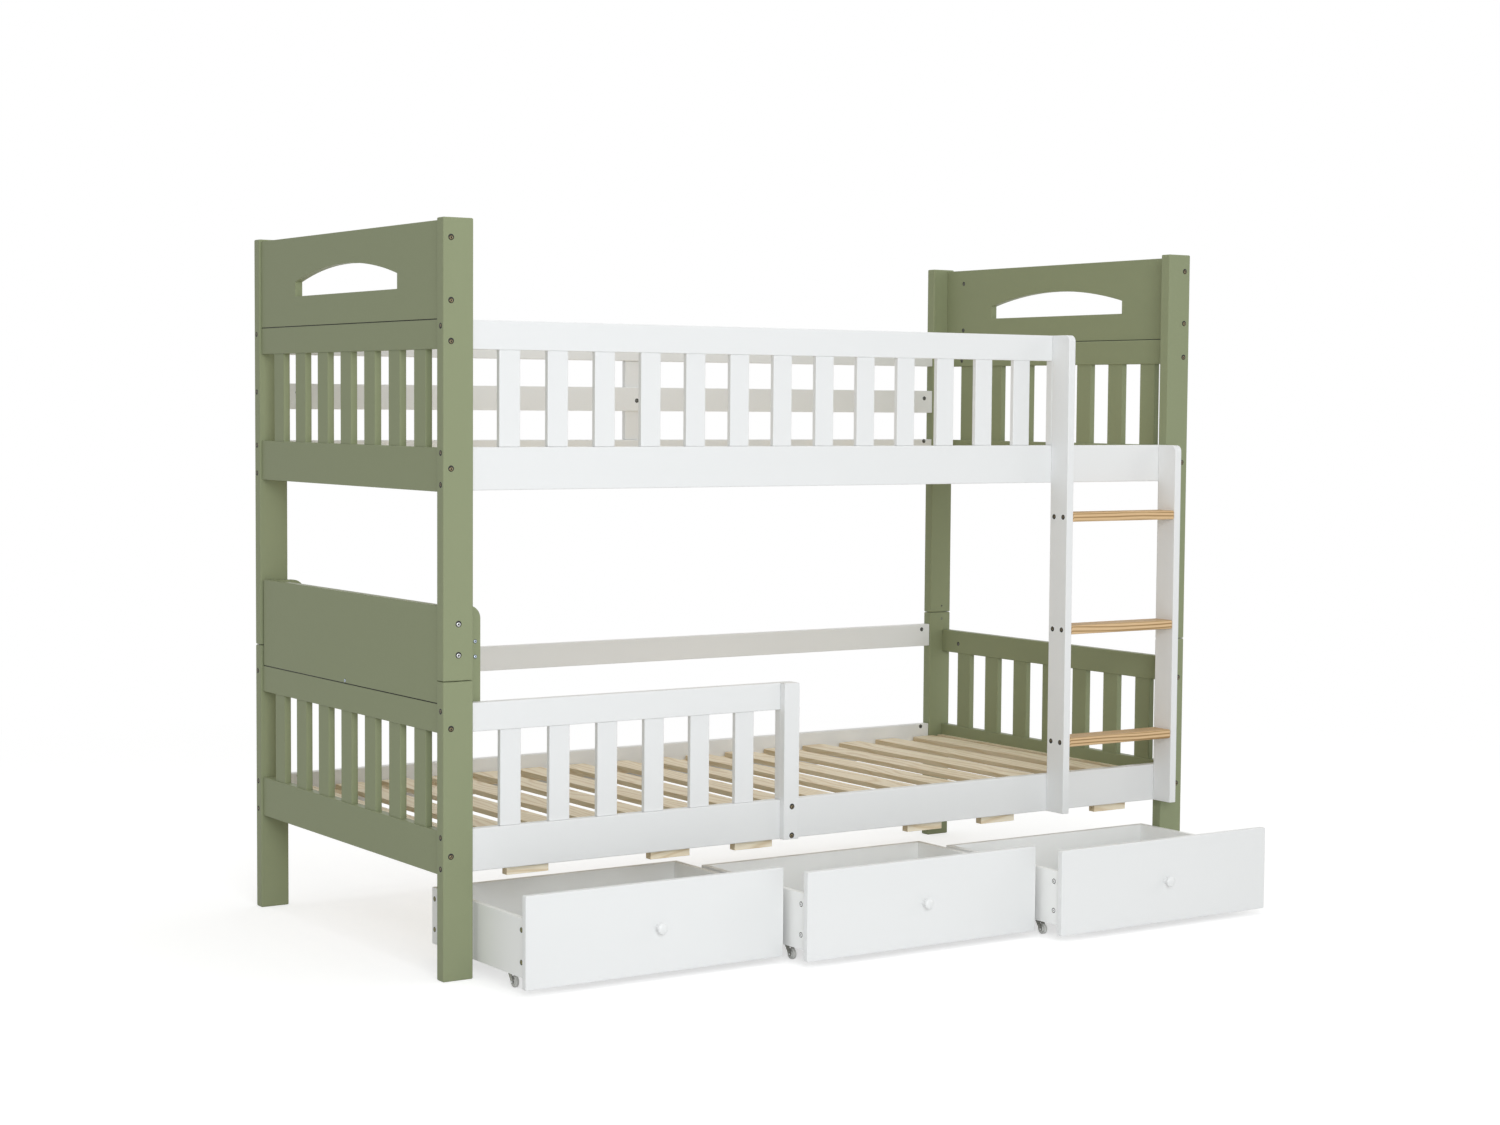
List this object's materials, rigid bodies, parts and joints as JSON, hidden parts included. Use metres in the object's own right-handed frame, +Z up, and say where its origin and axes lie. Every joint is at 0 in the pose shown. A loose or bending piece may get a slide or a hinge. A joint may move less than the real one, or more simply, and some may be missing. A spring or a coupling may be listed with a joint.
{
  "type": "bunk bed with drawers",
  "caption": "Bunk bed with split posts, slatted end and guard panels, arched boards over the ends, a fixed ladder and drawers on castors that roll out from under the lower bunk.",
  "frame": {"origin": "on the floor, in the middle of the whole bed's length and of its depth with the drawers pulled out as in the picture", "axes": "+X along the bed from its headboard end to its ladder end, +Y from the ladder side to the wall side, +Z up"},
  "size_m": [2.08, 1.376, 1.59],
  "materials": {
    "sage_paint": "satin sage green paint over wood",
    "white_paint": "satin white paint over wood",
    "pine": "planed pine with a clear matt finish",
    "castor_wheel": "grey plastic"
  },
  "bodies": {
    "frame": {"front_left_lower_post": "sage_paint", "front_left_upper_post": "sage_paint", "front_right_lower_post": "sage_paint", "front_right_upper_post": "sage_paint", "back_left_lower_post": "sage_paint", "back_left_upper_post": "sage_paint", "back_right_lower_post": "sage_paint", "back_right_upper_post": "sage_paint", "left_lower_end_panel": "sage_paint", "left_upper_end_panel": "sage_paint", "left_arch_board": "sage_paint", "right_lower_end_panel": "sage_paint", "right_upper_end_panel": "sage_paint", "right_arch_board": "sage_paint", "headboard_panel": "sage_paint", "front_bracket": "sage_paint", "back_bracket": "sage_paint", "upper_front_side_rail": "white_paint", "upper_back_side_rail": "white_paint", "upper_front_guard": "white_paint", "upper_back_top_rail": "white_paint", "upper_back_centre_stile": "white_paint", "upper_back_middle_rail": "white_paint", "lower_front_side_rail": "white_paint", "lower_back_side_rail": "white_paint", "lower_back_rail": "white_paint", "lower_front_guard": "white_paint", "lower_guard_batten": "white_paint", "ladder_left_stile": "white_paint", "ladder_right_stile": "white_paint", "ladder_lower_rung": "pine", "ladder_middle_rung": "pine", "ladder_upper_rung": "pine", "upper_slat_base": "pine", "lower_slat_base": "pine"},
    "drawer_1": {"drawer_1_front": "white_paint", "drawer_1_box": "white_paint", "drawer_1_bottom": "white_paint", "drawer_1_knob": "white_paint"},
    "drawer_2": {"drawer_2_front": "white_paint", "drawer_2_box": "white_paint", "drawer_2_bottom": "white_paint", "drawer_2_knob": "white_paint"},
    "drawer_3": {"drawer_3_front": "white_paint", "drawer_3_box": "white_paint", "drawer_3_bottom": "white_paint", "drawer_3_knob": "white_paint"},
    "drawer_1_wheel_front_left": {"drawer_1_front_left_wheel": "castor_wheel"},
    "drawer_1_wheel_front_right": {"drawer_1_front_right_wheel": "castor_wheel"},
    "drawer_1_wheel_back_left": {"drawer_1_back_left_wheel": "castor_wheel"},
    "drawer_1_wheel_back_right": {"drawer_1_back_right_wheel": "castor_wheel"},
    "drawer_2_wheel_front_left": {"drawer_2_front_left_wheel": "castor_wheel"},
    "drawer_2_wheel_front_right": {"drawer_2_front_right_wheel": "castor_wheel"},
    "drawer_2_wheel_back_left": {"drawer_2_back_left_wheel": "castor_wheel"},
    "drawer_2_wheel_back_right": {"drawer_2_back_right_wheel": "castor_wheel"},
    "drawer_3_wheel_front_left": {"drawer_3_front_left_wheel": "castor_wheel"},
    "drawer_3_wheel_front_right": {"drawer_3_front_right_wheel": "castor_wheel"},
    "drawer_3_wheel_back_left": {"drawer_3_back_left_wheel": "castor_wheel"},
    "drawer_3_wheel_back_right": {"drawer_3_back_right_wheel": "castor_wheel"}
  },
  "joints": [
    {"name": "drawer_1_slide", "type": "slide", "parent": "frame", "child": "drawer_1", "axis": [0, 1, 0], "range_m": [-0.266, 0.2245]},
    {"name": "drawer_2_slide", "type": "slide", "parent": "frame", "child": "drawer_2", "axis": [0, 1, 0], "range_m": [-0.187, 0.3035]},
    {"name": "drawer_3_slide", "type": "slide", "parent": "frame", "child": "drawer_3", "axis": [0, 1, 0], "range_m": [-0.105, 0.3855]},
    {"name": "drawer_1_front_left_roll", "type": "hinge", "parent": "drawer_1", "child": "drawer_1_wheel_front_left", "pos_m": [-0.933, -0.407, 0.0125], "axis": [1, 0, 0], "continuous": true},
    {"name": "drawer_1_front_right_roll", "type": "hinge", "parent": "drawer_1", "child": "drawer_1_wheel_front_right", "pos_m": [-0.355, -0.407, 0.0125], "axis": [1, 0, 0], "continuous": true},
    {"name": "drawer_1_back_left_roll", "type": "hinge", "parent": "drawer_1", "child": "drawer_1_wheel_back_left", "pos_m": [-0.933, -0.179, 0.0125], "axis": [1, 0, 0], "continuous": true},
    {"name": "drawer_1_back_right_roll", "type": "hinge", "parent": "drawer_1", "child": "drawer_1_wheel_back_right", "pos_m": [-0.355, -0.179, 0.0125], "axis": [1, 0, 0], "continuous": true},
    {"name": "drawer_2_front_left_roll", "type": "hinge", "parent": "drawer_2", "child": "drawer_2_wheel_front_left", "pos_m": [-0.289, -0.486, 0.0125], "axis": [1, 0, 0], "continuous": true},
    {"name": "drawer_2_front_right_roll", "type": "hinge", "parent": "drawer_2", "child": "drawer_2_wheel_front_right", "pos_m": [0.289, -0.486, 0.0125], "axis": [1, 0, 0], "continuous": true},
    {"name": "drawer_2_back_left_roll", "type": "hinge", "parent": "drawer_2", "child": "drawer_2_wheel_back_left", "pos_m": [-0.289, -0.258, 0.0125], "axis": [1, 0, 0], "continuous": true},
    {"name": "drawer_2_back_right_roll", "type": "hinge", "parent": "drawer_2", "child": "drawer_2_wheel_back_right", "pos_m": [0.289, -0.258, 0.0125], "axis": [1, 0, 0], "continuous": true},
    {"name": "drawer_3_front_left_roll", "type": "hinge", "parent": "drawer_3", "child": "drawer_3_wheel_front_left", "pos_m": [0.355, -0.568, 0.0125], "axis": [1, 0, 0], "continuous": true},
    {"name": "drawer_3_front_right_roll", "type": "hinge", "parent": "drawer_3", "child": "drawer_3_wheel_front_right", "pos_m": [0.933, -0.568, 0.0125], "axis": [1, 0, 0], "continuous": true},
    {"name": "drawer_3_back_left_roll", "type": "hinge", "parent": "drawer_3", "child": "drawer_3_wheel_back_left", "pos_m": [0.355, -0.34, 0.0125], "axis": [1, 0, 0], "continuous": true},
    {"name": "drawer_3_back_right_roll", "type": "hinge", "parent": "drawer_3", "child": "drawer_3_wheel_back_right", "pos_m": [0.933, -0.34, 0.0125], "axis": [1, 0, 0], "continuous": true}
  ],
  "couplings": [
    {"joint": "drawer_1_front_left_roll", "follows": "drawer_1_slide", "rad_per_m": -80},
    {"joint": "drawer_1_front_right_roll", "follows": "drawer_1_slide", "rad_per_m": -80},
    {"joint": "drawer_1_back_left_roll", "follows": "drawer_1_slide", "rad_per_m": -80},
    {"joint": "drawer_1_back_right_roll", "follows": "drawer_1_slide", "rad_per_m": -80},
    {"joint": "drawer_2_front_left_roll", "follows": "drawer_2_slide", "rad_per_m": -80},
    {"joint": "drawer_2_front_right_roll", "follows": "drawer_2_slide", "rad_per_m": -80},
    {"joint": "drawer_2_back_left_roll", "follows": "drawer_2_slide", "rad_per_m": -80},
    {"joint": "drawer_2_back_right_roll", "follows": "drawer_2_slide", "rad_per_m": -80},
    {"joint": "drawer_3_front_left_roll", "follows": "drawer_3_slide", "rad_per_m": -80},
    {"joint": "drawer_3_front_right_roll", "follows": "drawer_3_slide", "rad_per_m": -80},
    {"joint": "drawer_3_back_left_roll", "follows": "drawer_3_slide", "rad_per_m": -80},
    {"joint": "drawer_3_back_right_roll", "follows": "drawer_3_slide", "rad_per_m": -80}
  ]
}
